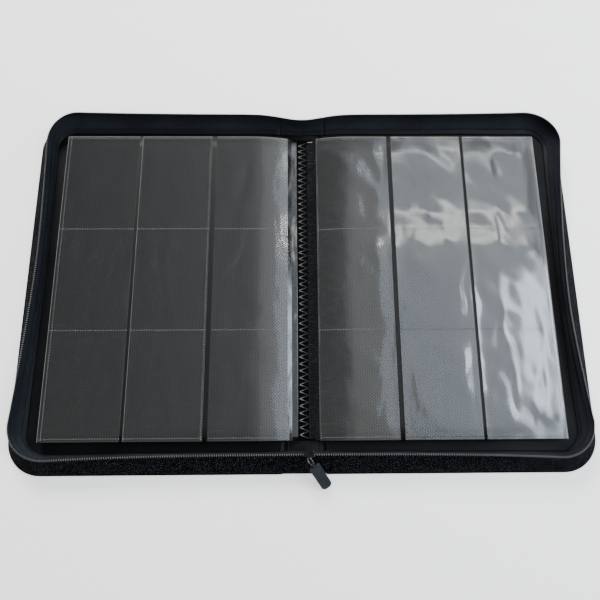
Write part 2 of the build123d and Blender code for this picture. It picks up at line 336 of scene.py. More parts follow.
def use_group(n, name, **values):
    """One of the shared groups, fed with Object coordinates."""
    if name not in GROUPS:
        GROUPS[name] = GROUP_MAKERS[name]()
    node = n.add("ShaderNodeGroup", node_tree=GROUPS[name])
    n.join(n.place(), node.inputs["Vector"])
    for label, value in values.items():
        n.join(value, node.inputs[label])
    return node.outputs


def new_material(name):
    """An empty material with its output and Principled shader."""
    material = bpy.data.materials.new(name)
    material.use_nodes = True
    tree = material.node_tree
    tree.nodes.clear()
    n = Nodes(tree)
    shader = n.add("ShaderNodeBsdfPrincipled")
    end = n.add("ShaderNodeOutputMaterial")
    tree.links.new(shader.outputs[0], end.inputs["Surface"])
    return material, n, shader.inputs, end.inputs["Surface"]


def bump(n, shader, height, distance):
    """Raises the surface by a height pattern."""
    node = n.add("ShaderNodeBump", {"Height": height, "Distance": distance, "Strength": 1.0})
    n.join(node.outputs["Normal"], shader["Normal"])


# ---------------------------------------------------------------- materials

def cloth_material(name, dark, pale, threads, specks, depth, dust=0.25):
    """Woven cloth with pale thread tops (partly wear, partly painted glints), soft fading and some
    lint.
    """
    material, n, shader, _ = new_material(name)
    weave = use_group(n, "weave", Threads=threads, Specks=specks)
    lint = use_group(n, "dust", Amount=dust)
    faded = n.mix(weave["Fade"], dark, tuple(c * 1.7 for c in dark))
    colour = n.mix(weave["Pale"], faded, pale)
    n.join(n.mix(lint["Mask"], colour, (0.30, 0.31, 0.33)), shader["Base Color"])
    n.join(n.range(weave["Height"], 0, 1, 0.92, 0.68), shader["Roughness"])
    shader["Specular IOR Level"].default_value = 0.02
    bump(n, shader, weave["Height"], depth)
    return material


def lining_material(name, colour, sheen):
    """Smooth laminated lining: faint grain, slow waves and a satin shine."""
    material, n, shader, _ = new_material(name)
    grain = use_group(n, "weave", Threads=5200.0, Specks=0.10)
    lint = use_group(n, "dust", Amount=0.30)
    coordinates = n.place()
    slow = n.speckle(coordinates, 17.0, 3.0)
    base = n.mix(grain["Fade"], colour, tuple(c * 1.35 for c in colour))
    # Pale flecks of the grain: partly wear, partly painted glints.
    base = n.mix(grain["Pale"], base, (0.05, 0.056, 0.068))
    n.join(n.mix(lint["Mask"], base, (0.22, 0.23, 0.25)), shader["Base Color"])
    n.join(n.range(slow, 0.3, 0.7, sheen, sheen + 0.16), shader["Roughness"])
    shader["Specular IOR Level"].default_value = 0.14
    height = n.plus(n.times(slow, 9.0), n.times(grain["Height"], 0.35))
    bump(n, shader, height, 0.05 * MM)
    return material


def material_floor():
    material, n, shader, _ = new_material("studio_paper")
    coordinates = n.place()
    fibre = n.speckle(coordinates, 90.0, 4.0)
    n.join(n.mix(fibre, (0.93, 0.93, 0.93), (0.96, 0.96, 0.96)), shader["Base Color"])
    shader["Roughness"].default_value = 0.9
    shader["Emission Color"].default_value = (1, 1, 1, 1)
    shader["Emission Strength"].default_value = 0.9
    return material


def material_backing(name, slant):
    """Dark embossed sheet between the films, plain, painted near black in the gaps between columns
    as the shade in the pocket openings.
    """
    material, n, shader, _ = new_material(name)
    twill = use_group(n, "twill", Slant=slant, Ribs=2350.0)
    lint = use_group(n, "dust", Amount=0.2)
    coordinates = n.place()
    x = n.math("ABSOLUTE", n.parts(coordinates)["X"])
    inner = n.math("ABSOLUTE", n.math("SUBTRACT", x, FIRST_GAP))
    outer = n.math("ABSOLUTE", n.math("SUBTRACT", x, SECOND_GAP))
    first = n.range(inner, 2.3 * MM, 2.0 * MM)
    second = n.range(outer, 1.6 * MM, 1.3 * MM)
    # Painted shade: the gaps between columns are mixed to near black.
    gap = n.math("MAXIMUM", first, second)
    colour = n.mix(twill["Pale"], (0.122, 0.119, 0.113), (0.255, 0.251, 0.240))
    colour = n.mix(lint["Mask"], colour, (0.16, 0.16, 0.16))
    n.join(n.mix(gap, colour, (0.0008, 0.0008, 0.0010)), shader["Base Color"])
    n.join(n.range(twill["Height"], 0, 1, 0.66, 0.52), shader["Roughness"])
    shader["Specular IOR Level"].default_value = 0.3
    bump(n, shader, twill["Height"], 0.03 * MM)
    return material


def material_film(name, gloss):
    """Clear film: mostly see-through, mirroring at its own waves, faintly hazy where scuffed."""
    material, n, shader, surface = new_material(name)
    ripple = use_group(n, "film_ripple", Waves=30.0)
    n.join(n.mix(ripple["Scuff"], (0.30, 0.31, 0.32), (0.65, 0.66, 0.68)), shader["Base Color"])
    n.join(n.range(ripple["Scuff"], 0, 1, gloss, gloss + 0.14), shader["Roughness"])
    shader["Specular IOR Level"].default_value = 0.5
    bump(n, shader, ripple["Height"], 0.55 * MM)
    normal = shader["Normal"].links[0].from_socket
    clear = n.add("ShaderNodeBsdfTransparent", {"Color": (0.97, 0.975, 0.98)}).outputs[0]
    gloss_of = {"Color": (0.95, 0.97, 1.0), "Roughness": gloss, "Normal": normal}
    mirror = n.add("ShaderNodeBsdfGlossy", gloss_of).outputs[0]
    edge_on = n.add("ShaderNodeFresnel", {"IOR": 1.62, "Normal": normal}).outputs["Fac"]
    film = n.add("ShaderNodeMixShader", {"Fac": edge_on, 1: clear, 2: mirror}).outputs[0]
    haze = n.plus(n.times(ripple["Scuff"], 0.05), 0.035)
    scuffed = shader["Base Color"].node.outputs[0]
    hazed = n.add("ShaderNodeMixShader", {"Fac": haze, 1: film, 2: scuffed}).outputs[0]
    n.join(hazed, surface)
    return material


def material_margin():
    """Welded film margin: dark, glossy, with slow buckles."""
    material, n, shader, _ = new_material("page_margin_film")
    ripple = use_group(n, "film_ripple", Waves=60.0)
    lint = use_group(n, "dust", Amount=0.2)
    colour = n.mix(ripple["Scuff"], (0.004, 0.0043, 0.005), (0.030, 0.032, 0.036))
    n.join(n.mix(lint["Mask"], colour, (0.4, 0.4, 0.42)), shader["Base Color"])
    n.join(n.range(ripple["Scuff"], 0, 1, 0.13, 0.28), shader["Roughness"])
    bump(n, shader, ripple["Height"], 0.35 * MM)
    return material


def material_leaf_edge():
    """Lower leaves: embossed backing under film, with pale film edges."""
    material, n, shader, _ = new_material("lower_leaf_sheet")
    twill = use_group(n, "twill", Slant=1.0, Ribs=2350.0)
    ripple = use_group(n, "film_ripple", Waves=30.0)
    colour = n.mix(twill["Pale"], (0.020, 0.021, 0.021), (0.09, 0.092, 0.095))
    scuffed = n.mix(n.times(ripple["Scuff"], 0.25), colour, (0.35, 0.36, 0.38))
    n.join(scuffed, shader["Base Color"])
    n.join(n.range(ripple["Scuff"], 0, 1, 0.22, 0.4), shader["Roughness"])
    bump(n, shader, ripple["Height"], 0.3 * MM)
    return material


def material_weld(name, dark, pale):
    """Pressed weld marks, hazy where the film is crushed."""
    material, n, shader, _ = new_material(name)
    ripple = use_group(n, "film_ripple", Waves=120.0)
    n.join(n.mix(ripple["Height"], dark, pale), shader["Base Color"])
    n.join(n.range(ripple["Scuff"], 0, 1, 0.5, 0.7), shader["Roughness"])
    shader["Specular IOR Level"].default_value = 0.25
    return material


def material_coil():
    """Moulded nylon filament with a painted highlight on its crests, broken up by noise."""
    material, n, shader, _ = new_material("zipper_filament")
    lint = use_group(n, "dust", Amount=0.5)
    coordinates = n.place()
    highlight_and_gloss_noise = n.speckle(coordinates, 60.0, 4.0)
    height = n.parts(coordinates)["Z"]
    # Painted highlight: the top of each turn, found by its height, is mixed towards pale grey.
    top = n.range(height, COIL_HIGH.z - 0.45 * MM, COIL_HIGH.z - 0.05 * MM)
    crest_highlight = n.times(top, n.range(highlight_and_gloss_noise, 0.2, 0.6, 0.6, 1.0))
    colour = n.mix(crest_highlight, (0.002, 0.0021, 0.0025), (0.26, 0.265, 0.275))
    n.join(n.mix(lint["Mask"], colour, (0.35, 0.36, 0.38)), shader["Base Color"])
    n.join(n.range(highlight_and_gloss_noise, 0.3, 0.7, 0.28, 0.45), shader["Roughness"])
    return material


def material_thread(name, dark, pale, lit_side_to):
    """Twisted sewing thread, paler towards -X and darker towards +X: a painted highlight on one
    side, painted shade on the other.
    """
    material, n, shader, _ = new_material(name)
    coordinates = n.place()
    twist = n.speckle(coordinates, 1300.0, 2.0)
    across = n.parts(coordinates)["X"]
    # Painted light: the pale twist shows in full at -3.2 mm and fades out towards +X, which is
    # painted shade on that side.
    rubbed_and_lit = n.range(across, lit_side_to, -3.2 * MM, 0.04, 1.0)
    worn_and_lit = n.times(n.range(twist, 0.35, 0.6), rubbed_and_lit)
    n.join(n.mix(worn_and_lit, dark, pale), shader["Base Color"])
    n.join(n.range(twist, 0.3, 0.7, 0.6, 0.8), shader["Roughness"])
    bump(n, shader, twist, 0.08 * MM)
    return material


def material_enamel(name, dark, worn_and_lit, wear):
    """Enamelled metal with small rubbed spots."""
    material, n, shader, _ = new_material(name)
    coordinates = n.place()
    spots = n.speckle(coordinates, 700.0, 5.0)
    rubbed_and_lit = n.range(spots, wear, wear + 0.08)
    n.join(n.mix(rubbed_and_lit, dark, worn_and_lit), shader["Base Color"])
    n.join(n.range(spots, 0.3, 0.7, 0.24, 0.42), shader["Roughness"])
    n.join(n.times(rubbed_and_lit, 0.9), shader["Metallic"])
    shader["Specular IOR Level"].default_value = 0.3
    bump(n, shader, spots, 0.02 * MM)
    return material


def material_rubber():
    """Matt moulded rubber with a fine pitted skin and dust in it."""
    material, n, shader, _ = new_material("tab_rubber_skin")
    coordinates = n.place()
    pits = n.speckle(coordinates, 2400.0, 3.0)
    lint = use_group(n, "dust", Amount=0.6)
    worn_and_lit = n.speckle(coordinates, 130.0, 4.0)
    colour = n.mix(n.range(worn_and_lit, 0.3, 0.7), (0.011, 0.014, 0.018), (0.024, 0.029, 0.037))
    n.join(n.mix(lint["Mask"], colour, (0.3, 0.32, 0.34)), shader["Base Color"])
    n.join(n.range(pits, 0.3, 0.7, 0.5, 0.72), shader["Roughness"])
    shader["Specular IOR Level"].default_value = 0.2
    bump(n, shader, pits, 0.05 * MM)
    return material


# ---------------------------------------------------------------- making pieces

def finished(name, bm, material, smooth=True):
    """The object made from a bmesh, at the origin."""
    mesh = bpy.data.meshes.new(name)
    bm.to_mesh(mesh)
    bm.free()
    mesh.materials.append(material)
    if smooth:
        mesh.shade_smooth()
    piece = bpy.data.objects.new(name, mesh)
    bpy.context.scene.collection.objects.link(piece)
    return piece


def rounded(piece, width):
    """Softens a piece's sharp edges."""
    bevel = piece.modifiers.new("soft_edges", "BEVEL")
    bevel.width = width
    bevel.segments = 2
    bevel.limit_method = "ANGLE"
    bevel.angle_limit = math.radians(35)
    return piece


def box_mesh(bm, low, high):
    """Adds a box between two corners."""
    low, high = Vector(low), Vector(high)
    place = Matrix.Translation((low + high) / 2) @ Matrix.Diagonal((*(high - low), 1))
    bmesh.ops.create_cube(bm, size=1, matrix=place)


def lengthwise(bm):
    """The edges that run from the front to the back."""
    return [e for e in bm.edges if abs(e.verts[0].co.y - e.verts[1].co.y) > 0.1]


def scattered(maker, places):
    """A bmesh with one small unit at every place, given as matrices."""
    bm = bmesh.new()
    maker(bm)
    unit = bpy.data.meshes.new("unit")
    bm.to_mesh(unit)
    bm.clear()
    for place in places:
        before = len(bm.verts)
        bm.from_mesh(unit)
        bm.verts.ensure_lookup_table()
        bmesh.ops.transform(bm, matrix=place, verts=bm.verts[before:])
    bpy.data.meshes.remove(unit)
    return bm


# ---------------------------------------------------------------- the case's outline

FLARES = {
    # middle of the inward bow, bow, then outward flare at the front and the back corner
    "left": (25 * MM, -1.4 * MM, 9.6 * MM, 3.0 * MM),
    "right": (-22 * MM, -3.0 * MM, 9.4 * MM, 11.0 * MM),
}


def rim_offset(side_name, centre, out):
    """How far the soft rim stands outside its regular outline."""
    middle, bow, front_flare, back_flare = FLARES[side_name]
    if centre.y < middle:
        along = (middle - centre.y) / (middle + BASE_Y - BASE_CORNER)
        side = bow + front_flare * along ** 1.5
    else:
        along = (centre.y - middle) / (BASE_Y - BASE_CORNER - middle)
        side = bow + back_flare * along ** 1.8
    reach = abs(centre.x) / (RIM_X - RIM_CORNER)
    if out.y < 0:
        end = 1.2 * MM + 3.4 * MM * reach ** 3
    else:
        near_spine = math.exp(-((centre.x / (26 * MM)) ** 2))
        end = 3.0 * MM + 2.0 * MM * reach ** 3 - 6.0 * MM * near_spine
    return out.x ** 2 * side + out.y ** 2 * end


def wall_place(plan, side_name, rise, inset, z):
    """A point of the base outline on the leaning wall; rise is 0 at the table, 1 at the rim."""
    side = SIDES[side_name]
    corner_x = BASE_X - BASE_CORNER
    corner_y = BASE_Y - BASE_CORNER
    centre = Vector((min(plan.x, corner_x), max(-corner_y, min(plan.y, corner_y)), 0))
    out = Vector((plan.x, plan.y, 0)) - centre
    out.normalize()
    if centre.x > TRAY_END:
        far = (RIM_X - RIM_CORNER - TRAY_END) / (corner_x - TRAY_END)
        centre.x = TRAY_END + (centre.x - TRAY_END) * (1 + rise * (far - 1))
    share = (centre.y + corner_y) / (2 * corner_y)
    rim_y = RIM_FRONT + RIM_CORNER + share * (RIM_BACK - RIM_FRONT - 2 * RIM_CORNER)
    centre.y += rise * (rim_y - centre.y)
    radius = BASE_CORNER + rise * (RIM_CORNER - BASE_CORNER) - inset
    centre.x *= side
    out.x *= side
    spot = centre + out * (radius + rise ** 1.3 * rim_offset(side_name, centre, out))
    pucker = noise.noise(Vector((spot.x * 28, spot.y * 28, rise * 1.5 + side)))
    spot += out * pucker * 0.9 * MM * math.sin(math.pi * min(rise, 1.0))
    spot.z = z
    return spot


def outline_edges(bm, x_in):
    """The base outline of one tray as a chain of edges, on the +X side, open to the spine."""
    plan = bm.verts.layers.float_vector.new("plan")
    ends = ((x_in, -BASE_Y, 0), (BASE_X, -BASE_Y, 0), (BASE_X, BASE_Y, 0), (x_in, BASE_Y, 0))
    corners = [bm.verts.new(end) for end in ends]
    bm.faces.new(corners)
    bmesh.ops.bevel(bm, geom=corners[1:3], offset=BASE_CORNER, segments=14, profile=0.5,
                    affect="VERTICES", material=-1)
    inner = [e for e in bm.edges if all(abs(v.co.x - x_in) < 1e-6 for v in e.verts)]
    bmesh.ops.delete(bm, geom=bm.faces[:], context="FACES_ONLY")
    bmesh.ops.delete(bm, geom=inner, context="EDGES")
    long_edges = [e for e in bm.edges if e.calc_length() > 60 * MM]
    bmesh.ops.subdivide_edges(bm, edges=long_edges, cuts=54)
    for v in bm.verts:
        v[plan] = v.co
    return list(bm.edges)


def end_edges(bm, front):
    """The base outline across half the spine at one end, on the +X side."""
    plan = bm.verts.layers.float_vector.new("plan")
    y = -BASE_Y if front else BASE_Y
    pair = [bm.verts.new((0, y, 0)), bm.verts.new((TRAY_END, y, 0))]
    edge = bm.edges.new(pair)
    bmesh.ops.subdivide_edges(bm, edges=[edge], cuts=15)
    for v in bm.verts:
        v[plan] = v.co
    return list(bm.edges)


def wall_strip(name, side_name, edges_from, rows, material):
    """A closed band along the case's outline; rows are (rise, inset, height) round it."""
    bm = bmesh.new()
    edges = edges_from(bm)
    plan = bm.verts.layers.float_vector["plan"]
    rows = list(rows) + [rows[0]]
    verts = {v for e in edges for v in e.verts}
    for number, (rise, inset, z) in enumerate(rows):
        if number:
            grown = bmesh.ops.extrude_edge_only(bm, edges=edges)["geom"]
            edges = [g for g in grown if isinstance(g, bmesh.types.BMEdge)]
            verts = {g for g in grown if isinstance(g, bmesh.types.BMVert)}
            edges = [e for e in edges if e.verts[0] in verts and e.verts[1] in verts]
        for v in verts:
            v.co = wall_place(v[plan], side_name, rise, inset, z)
    bmesh.ops.remove_doubles(bm, verts=bm.verts[:], dist=1e-6)
    bmesh.ops.holes_fill(bm, edges=[e for e in bm.edges if e.is_boundary], sides=0)
    bmesh.ops.recalc_face_normals(bm, faces=bm.faces[:])
    return finished(name, bm, material)


def tray_outline(bm):
    return outline_edges(bm, TRAY_END)


def rim_stations(side_name, edges_from, rise, inset, pitch):
    """Evenly spaced places along a wall line, each with its outward direction."""
    bm = bmesh.new()
    edges_from(bm)
    plan = bm.verts.layers.float_vector["plan"]
    ends = [v for v in bm.verts if len(v.link_edges) == 1]
    here = min(ends, key=lambda v: (v[plan].y, v[plan].x))
    walk, seen = [here], {here}
    while True:
        ahead = [e.other_vert(here) for e in here.link_edges if e.other_vert(here) not in seen]
        if not ahead:
            break
        here = ahead[0]
        seen.add(here)
        walk.append(here)
    points = [wall_place(v[plan], side_name, rise, inset, 0) for v in walk]
    bm.free()
    stations = []
    left_over = pitch / 2
    for a, b in zip(points, points[1:]):
        step = (b - a).length
        along = (b - a).normalized()
        outward = Vector((along.y, -along.x, 0)) * SIDES[side_name]
        while left_over < step:
            stations.append((a + along * left_over, outward))
            left_over += pitch
        left_over -= step
    return stations


def tooth(bm):
    """One turn of the coil: a filament ring, lying across the tape with its axis along X."""
    stand = Matrix.Translation((TURN_RADIUS, 0, 0)) @ Matrix.Rotation(math.pi / 2, 4, "X")
    ring = bmesh.ops.create_circle(bm, segments=6, radius=FILAMENT_RADIUS, matrix=stand)
    bmesh.ops.spin(bm, geom=ring["verts"] + bm.edges[:], axis=(0, 0, 1), cent=(0, 0, 0),
                   angle=2 * math.pi, steps=9, use_merge=True)
    bmesh.ops.remove_doubles(bm, verts=bm.verts[:], dist=0.01 * MM)
    bmesh.ops.recalc_face_normals(bm, faces=bm.faces[:])
    bmesh.ops.rotate(bm, verts=bm.verts[:], matrix=Matrix.Rotation(math.pi / 2, 3, "Y"))


def frame_at(spot, outward, z, tilt=0.0, scale=(1, 1, 1)):
    """A matrix with X along the line, Y outward and Z up."""
    along = Vector((outward.y, -outward.x, 0))
    basis = Matrix((along, outward, Vector((0, 0, 1)))).transposed().to_4x4()
    place = Matrix.Translation((spot.x, spot.y, z))
    return place @ basis @ Matrix.Rotation(tilt, 4, "Z") @ Matrix.Diagonal((*scale, 1))


def stitch(bm):
    """One stitch: a round bead with its poles along X, stretched to size where it is laid."""
    bmesh.ops.create_uvsphere(bm, u_segments=6, v_segments=5, radius=1)
    bmesh.ops.rotate(bm, verts=bm.verts[:], matrix=Matrix.Rotation(math.pi / 2, 3, "Y"))


# ---------------------------------------------------------------- covers

def wall_rows():
    """Section of the padded wall: up the outside, over the rim and down the inside."""
    t, foot = WALL_THICK, WALL_FOOT_Z
    outside = [(0.0, 0.5 * MM, foot), (0.05, 0.0, foot + 0.5 * MM), (0.25, -0.25 * MM, 3.6 * MM),
               (0.5, -0.4 * MM, 6.6 * MM), (0.75, -0.3 * MM, 9.6 * MM), (0.93, 0.0, 11.7 * MM)]
    rim = [(1.0, 0.45 * MM, RIM_Z + 0.1 * MM), (1.0, t * 0.5, RIM_Z + 0.35 * MM),
           (1.0, t - 0.25 * MM, RIM_Z + 0.1 * MM)]
    inside = [(0.93, t, 11.7 * MM), (0.6, t, 7.8 * MM), (0.3, t, 4.4 * MM), (0.0, t, foot)]
    return outside + rim + inside


def inner_slope(share, lift=0.0):
    """A place down the soft inside of the wall: 0 at the rim, 1 where it meets the floor."""
    drop = RIM_Z - FLOOR_Z - 0.2 * MM
    inset = WALL_THICK + 0.5 * MM + 11.5 * MM * share ** 1.4
    return (1 - 0.72 * share, inset, RIM_Z - 0.1 * MM - drop * share ** 0.8 + lift)


def lining_rows():
    """Section of the wall's lining strip, sloping from the rim to its foot on the floor."""
    face = [inner_slope(share) for share in (0.0, 0.12, 0.27, 0.43, 0.6, 0.78, 0.92, 1.0)]
    foot = FLOOR_Z - 0.3 * MM
    back = [(0.27, 12.0 * MM, foot), (0.2, WALL_THICK, foot), (0.55, WALL_THICK, 7.6 * MM),
            (0.93, WALL_THICK, RIM_Z - 0.7 * MM)]
    return face + back


def tape_rows():
    """Section of the tape: its inner leg lies on the lining, its edge stands up to the coil."""
    high = COIL_LOW.z + 0.4 * MM
    a, b = COIL_INSET - 0.3 * MM, COIL_INSET + 0.3 * MM
    edge = [(0.97, a, RIM_Z - 1.0 * MM), (1.0, a, RIM_Z + 0.4 * MM), (1.0, a, high),
            (1.0, b, high), (1.0, b, RIM_Z + 0.6 * MM)]
    leg = [inner_slope(share, 0.35 * MM) for share in (0.02, 0.12, 0.27, 0.43, 0.6, 0.72)]
    under = [inner_slope(share, 0.05 * MM) for share in (0.72, 0.6, 0.43, 0.27, 0.12)]
    return edge + leg + under


def core_rows():
    """Section of the coil's core cord on the tape's edge."""
    turns = [number * math.pi / 3 for number in range(6)]
    return [(1.0, COIL_INSET + CORE_RADIUS * math.cos(turn),
             COIL_MID_Z + CORE_RADIUS * math.sin(turn)) for turn in turns]


def coil_piece(name, side_name, edges_from, material):
    """The coil's turns, evenly along the rim, leaning a little as a wound filament does."""
    stations = rim_stations(side_name, edges_from, 1.0, COIL_INSET, COIL_PITCH)
    places = [frame_at(spot, outward, COIL_MID_Z, tilt=COIL_LEAN) for spot, outward in stations]
    return finished(name, scattered(tooth, places), material)


def rim_stitches(name, side_name, material):
    """A row of stitches along the outside of the wall, just under the rim."""
    stations = rim_stations(side_name, tray_outline, 0.95, -0.12 * MM, RIM_STITCH_PITCH)
    size = (1.15 * MM, 0.22 * MM, 0.28 * MM)
    places = [frame_at(spot, outward, 11.6 * MM, scale=size) for spot, outward in stations]
    return finished(name, scattered(stitch, places), material)


def flat_panel(name, x_in, side_name, inset, z0, z1, rise, material):
    """A flat sheet filling one tray's outline."""
    bm = bmesh.new()
    outline_edges(bm, x_in)
    plan = bm.verts.layers.float_vector["plan"]
    for v in bm.verts:
        v.co = wall_place(v[plan], side_name, rise, inset, z0)
    ends = [v for v in bm.verts if len(v.link_edges) == 1]
    bm.edges.new(ends)
    bmesh.ops.contextual_create(bm, geom=bm.edges[:])
    grown = bmesh.ops.extrude_face_region(bm, geom=bm.faces[:])["geom"]
    top = [g for g in grown if isinstance(g, bmesh.types.BMVert)]
    bmesh.ops.translate(bm, vec=(0, 0, z1 - z0), verts=top)
    bmesh.ops.recalc_face_normals(bm, faces=bm.faces[:])
    return finished(name, bm, material, smooth=False)


def make_cover(side_name, m):
    """One tray: its flat cloth and lining, then the bands round its wall."""
    body = f"{side_name}_cover"

    def panel(label, x_in, inset, low_z, high_z, rise, finish):
        name = f"{side_name}_{label}"
        return flat_panel(name, x_in, side_name, inset, low_z, high_z, rise, m[finish])

    def band(label, rows, finish):
        return wall_strip(f"{side_name}_{label}", side_name, tray_outline, rows, m[finish])

    pieces = [
        (panel("outer_cloth", SKIN_LOW.x, 0.0, 0.05 * MM, WALL_FOOT_Z, 0.0, "outer"),
         "cover_skin", "outer_fabric"),
        (panel("floor_lining", FLOOR_LOW.x, 3.2 * MM, FLOOR_Z - 0.7 * MM, FLOOR_Z, 0.22, "lining"),
         "cover_lining", "inner_lining"),
        (band("wall_cloth", wall_rows(), "outer"), "side_wall", "outer_fabric"),
        (band("wall_lining_strip", lining_rows(), "wall_lining"), "wall_lining", "wall_lining"),
        (band("tape", tape_rows(), "tape"), "zipper_tape", "zipper_tape"),
        (band("coil_core", core_rows(), "strip"), "zipper_coil", "zipper_tape"),
        (coil_piece(f"{side_name}_coil_turns", side_name, tray_outline, m["coil"]),
         "zipper_coil", "zipper_coil"),
        (rim_stitches(f"{side_name}_rim_stitches", side_name, m["dark_thread"]),
         None, "outer_fabric"),
    ]
    for piece, node, slot in pieces:
        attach(piece, body)
        if node:
            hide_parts(f"{side_name}_{node}")


# ---------------------------------------------------------------- spine

def make_end(side_name, front, m):
    """Half of the soft gusset at one end of the spine, with its tape and coil."""
    end = "front" if front else "back"
    label = f"{side_name}_{end}"

    def half(bm):
        return end_edges(bm, front)

    def band(piece, rows, finish):
        return wall_strip(f"{label}_{piece}", side_name, half, rows, m[finish])

    gusset, zip_end = f"{end}_gusset", f"{end}_zip_end"
    pieces = [
        (band("gusset_cloth", wall_rows(), "outer"), gusset, "outer_fabric"),
        (band("gusset_lining", lining_rows(), "wall_lining"), gusset, "wall_lining"),
        (band("zip_end_tape", tape_rows(), "tape"), zip_end, "zipper_tape"),
        (band("zip_end_core", core_rows(), "strip"), zip_end, "zipper_tape"),
        (coil_piece(f"{label}_zip_end_turns", side_name, half, m["coil"]), zip_end, "zipper_coil"),
    ]
    for piece, node, slot in pieces:
        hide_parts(node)
        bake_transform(piece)


def fold_sheet(name, low, high, level, swell, offset, material):
    """A thin cloth across one fold groove, dipped or raised along its middle."""
    reach = 1.2 * MM
    bm = bmesh.new()
    bmesh.ops.create_grid(bm, x_segments=10, y_segments=60, size=0.5)
    for v in bm.verts:
        across = v.co.x + 0.5
        x = low.x - reach + across * (high.x - low.x + 2 * reach)
        y = low.y + (v.co.y + 0.5) * (high.y - low.y)
        v.co = Vector((x, y, level + swell * math.sin(math.pi * across) ** 2))
    cloth = finished(name, bm, material)
    solid = cloth.modifiers.new("cloth", "SOLIDIFY")
    solid.thickness = 0.5 * MM
    solid.offset = offset
    return cloth


def make_spine(m):
    """The spine's cloth and lining, and the cloths across the two folds."""
    low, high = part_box("spine_skin")
    bm = bmesh.new()
    box_mesh(bm, low, high)
    bmesh.ops.subdivide_edges(bm, edges=lengthwise(bm), cuts=40)
    cloth = rounded(finished("spine_cloth", bm, m["outer"]), 0.25 * MM)
    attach(cloth, "spine")
    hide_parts("spine_skin")

    low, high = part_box("spine_lining")
    bm = bmesh.new()
    box_mesh(bm, low, high)
    bmesh.ops.subdivide_edges(bm, edges=lengthwise(bm), cuts=60)
    for v in bm.verts:
        if v.co.z > (low.z + high.z) / 2:
            v.co.z += 0.12 * MM * noise.noise(Vector((v.co.x * 60, v.co.y * 40, 3)))
    lining = rounded(finished("spine_floor_lining", bm, m["lining"]), 0.2 * MM)
    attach(lining, "spine")
    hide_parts("spine_lining")

    for side_name, side in SIDES.items():
        low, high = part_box(f"{side_name}_hinge_cloth")
        low.y, high.y = -BASE_Y + 0.9 * MM, BASE_Y - 0.9 * MM
        upper = fold_sheet(f"{side_name}_fold_cloth", low, high,
                           FLOOR_Z + 0.25 * MM, -1.5 * MM, -1, m["lining"])
        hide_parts(f"{side_name}_hinge_cloth")
        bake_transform(upper)

        under = fold_sheet(f"{side_name}_groove_cloth", low, high,
                           0.3 * MM, 0.6 * MM, 0, m["outer"])
        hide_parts(f"{side_name}_hinge_cloth")
        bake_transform(under)


def make_binding(m):
    """The woven strip and its zigzag of thread."""
    bm = bmesh.new()
    box_mesh(bm, STRIP_LOW, STRIP_HIGH)
    strip = rounded(finished("gutter_strip", bm, m["strip"]), 0.3 * MM)
    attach(strip, "spine")
    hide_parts("binding_strip")

    low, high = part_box("binding_stitches")
    places = []
    run = ZIGZAG_PITCH / 2
    count = int((high.y - low.y) / run)
    slant = math.atan2(run, 2 * ZIGZAG_HALF_WIDTH)
    length = math.hypot(run, 2 * ZIGZAG_HALF_WIDTH)
    for number in range(count):
        y = low.y + run * (number + 0.5)
        turn = slant if number % 2 else -slant
        turned = Matrix.Rotation(turn, 4, "Z")
        place = Matrix.Translation((0.4 * MM, y, STRIP_HIGH.z + 0.28 * MM)) @ turned
        places.append(place @ Matrix.Diagonal((length * 0.52, 0.36 * MM, 0.36 * MM, 1)))
    thread = finished("gutter_zigzag_thread", scattered(stitch, places), m["thread"])
    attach(thread, "spine")
    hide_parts("binding_stitches")


# ---------------------------------------------------------------- leaves

WAVES = {"left": 0.22 * MM, "right": 0.62 * MM}
CURL_FROM = 47.5 * MM
CURL_DROP = 4.2 * MM


def curl(x, number=1):
    """How far a leaf curves down near the gutter; the lower the leaf, the less."""
    share = max(0.0, (CURL_FROM - abs(x)) / (CURL_FROM - LEAF_LOW.x))
    return CURL_DROP * share ** 2 * (LEAVES + 1 - number) / LEAVES


def film_wave(side_name, x, y, u, v):
    """Height of a film over its backing: u from its open edge to its weld, v along a pocket."""
    off_weld = min(1.0, max(0.0, 0.94 - u) * 8)
    off_rows = min(1.0, max(0.0, math.sin(math.pi * v) - 0.13) * 2.5)
    seed = 7 * SIDES[side_name]
    broad = noise.noise(Vector((x * 34, y * 19, seed)))
    fine = noise.noise(Vector((x * 95 + y * 30, y * 62, seed + 4)))
    diagonal = noise.noise(Vector(((x + y) * 48, (x - y) * 16, seed + 9)))
    height = 0.55 + 0.75 * broad + 0.16 * fine + 0.45 * diagonal
    lip = 0.35 * math.exp(-u * 26)
    return WAVES[side_name] * max(0.0, off_weld * off_rows * height + lip)


def make_film(side_name, column, front, material):
    """One column's film: three pockets, welded along the rows and the outer edge."""
    side = SIDES[side_name]
    x0 = LEAF_LOW.x + column * COLUMN + FILM_INSETS[column]
    x1 = LEAF_LOW.x + (column + 1) * COLUMN - FILM_INSETS[column + 1]
    bm = bmesh.new()
    bmesh.ops.create_grid(bm, x_segments=34, y_segments=132, size=0.5)
    for vert in bm.verts:
        u = vert.co.x + 0.5
        t = vert.co.y + 0.5
        v = (t * ROWS) % 1.0
        x = side * (x0 + u * (x1 - x0))
        y = LEAF_LOW.y + 0.4 * MM + t * (LEAF_LENGTH - 0.8 * MM)
        lift = film_wave(side_name, x, y, u, v)
        if front:
            z = FILM_LOW.z + 0.06 * MM + lift
        else:
            z = BACK_FILM_HIGH.z - 0.05 * MM - min(0.1 * MM, 0.3 * lift)
        vert.co = Vector((x, y, z - curl(x)))
    if (side > 0) != front:
        bmesh.ops.reverse_faces(bm, faces=bm.faces[:])
    face = "front" if front else "back"
    film = finished(f"{side_name}_leaf_01_{face}_film_{'abc'[column]}", bm, material)
    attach(film, f"{side_name}_leaf_01")
    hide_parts(f"{side_name}_leaf_01_{face}_films")


def weld(bm):
    """One pressed weld mark: a low rounded bead."""
    bmesh.ops.create_uvsphere(bm, u_segments=6, v_segments=5, radius=1)


